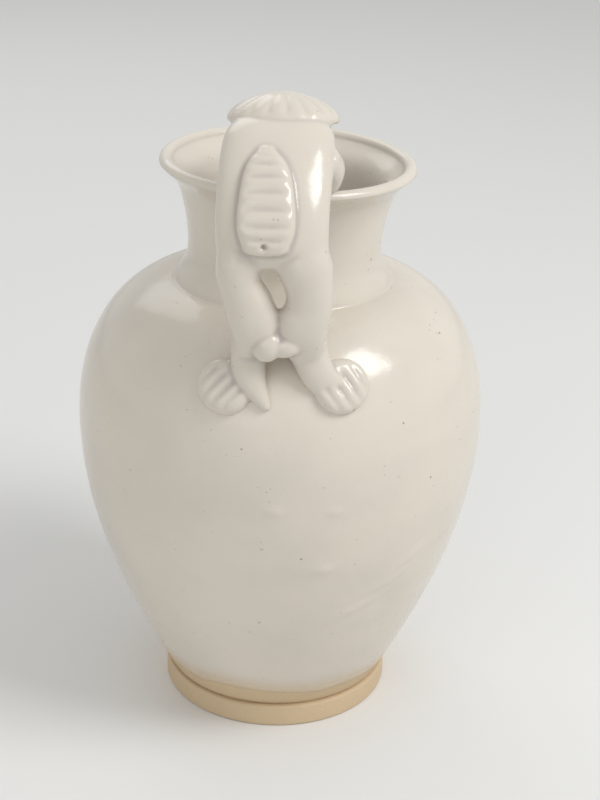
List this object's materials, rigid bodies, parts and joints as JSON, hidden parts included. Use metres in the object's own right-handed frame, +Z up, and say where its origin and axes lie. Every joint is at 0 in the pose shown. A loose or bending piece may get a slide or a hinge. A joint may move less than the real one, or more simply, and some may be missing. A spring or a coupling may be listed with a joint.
{
  "type": "lion-handled ewer",
  "caption": "White-glazed ceramic ewer: egg-shaped jar on a bare foot, flared neck, short spout, and a modelled lion that climbs from shoulder to rim as the handle.",
  "frame": {"origin": "centre of the flat underside of the foot", "axes": "+Z up along the jar's axis; the lion handle is on the -Y side and the spout on the +Y side; +X is on the right as the handle is seen from outside"},
  "size_m": [0.1392, 0.1681, 0.2232],
  "materials": {
    "glaze": "glossy ivory glaze",
    "bare_clay": "matt unglazed stoneware"
  },
  "bodies": {
    "root": {"foot": "bare_clay", "jar_body": "glaze", "neck": "glaze", "spout": "glaze", "lion_head": "glaze", "lion_torso": "glaze", "left_hind_leg": "glaze", "right_hind_leg": "glaze", "hock_knot": "glaze", "left_hind_paw": "glaze", "right_hind_paw": "glaze", "tail": "glaze", "mane": "glaze", "lower_jaw": "glaze", "nose": "glaze", "left_eye": "glaze", "left_ear": "glaze", "left_foreleg": "glaze", "left_forepaw": "glaze", "right_eye": "glaze", "right_ear": "glaze", "right_foreleg": "glaze", "right_forepaw": "glaze"}
  },
  "joints": []
}
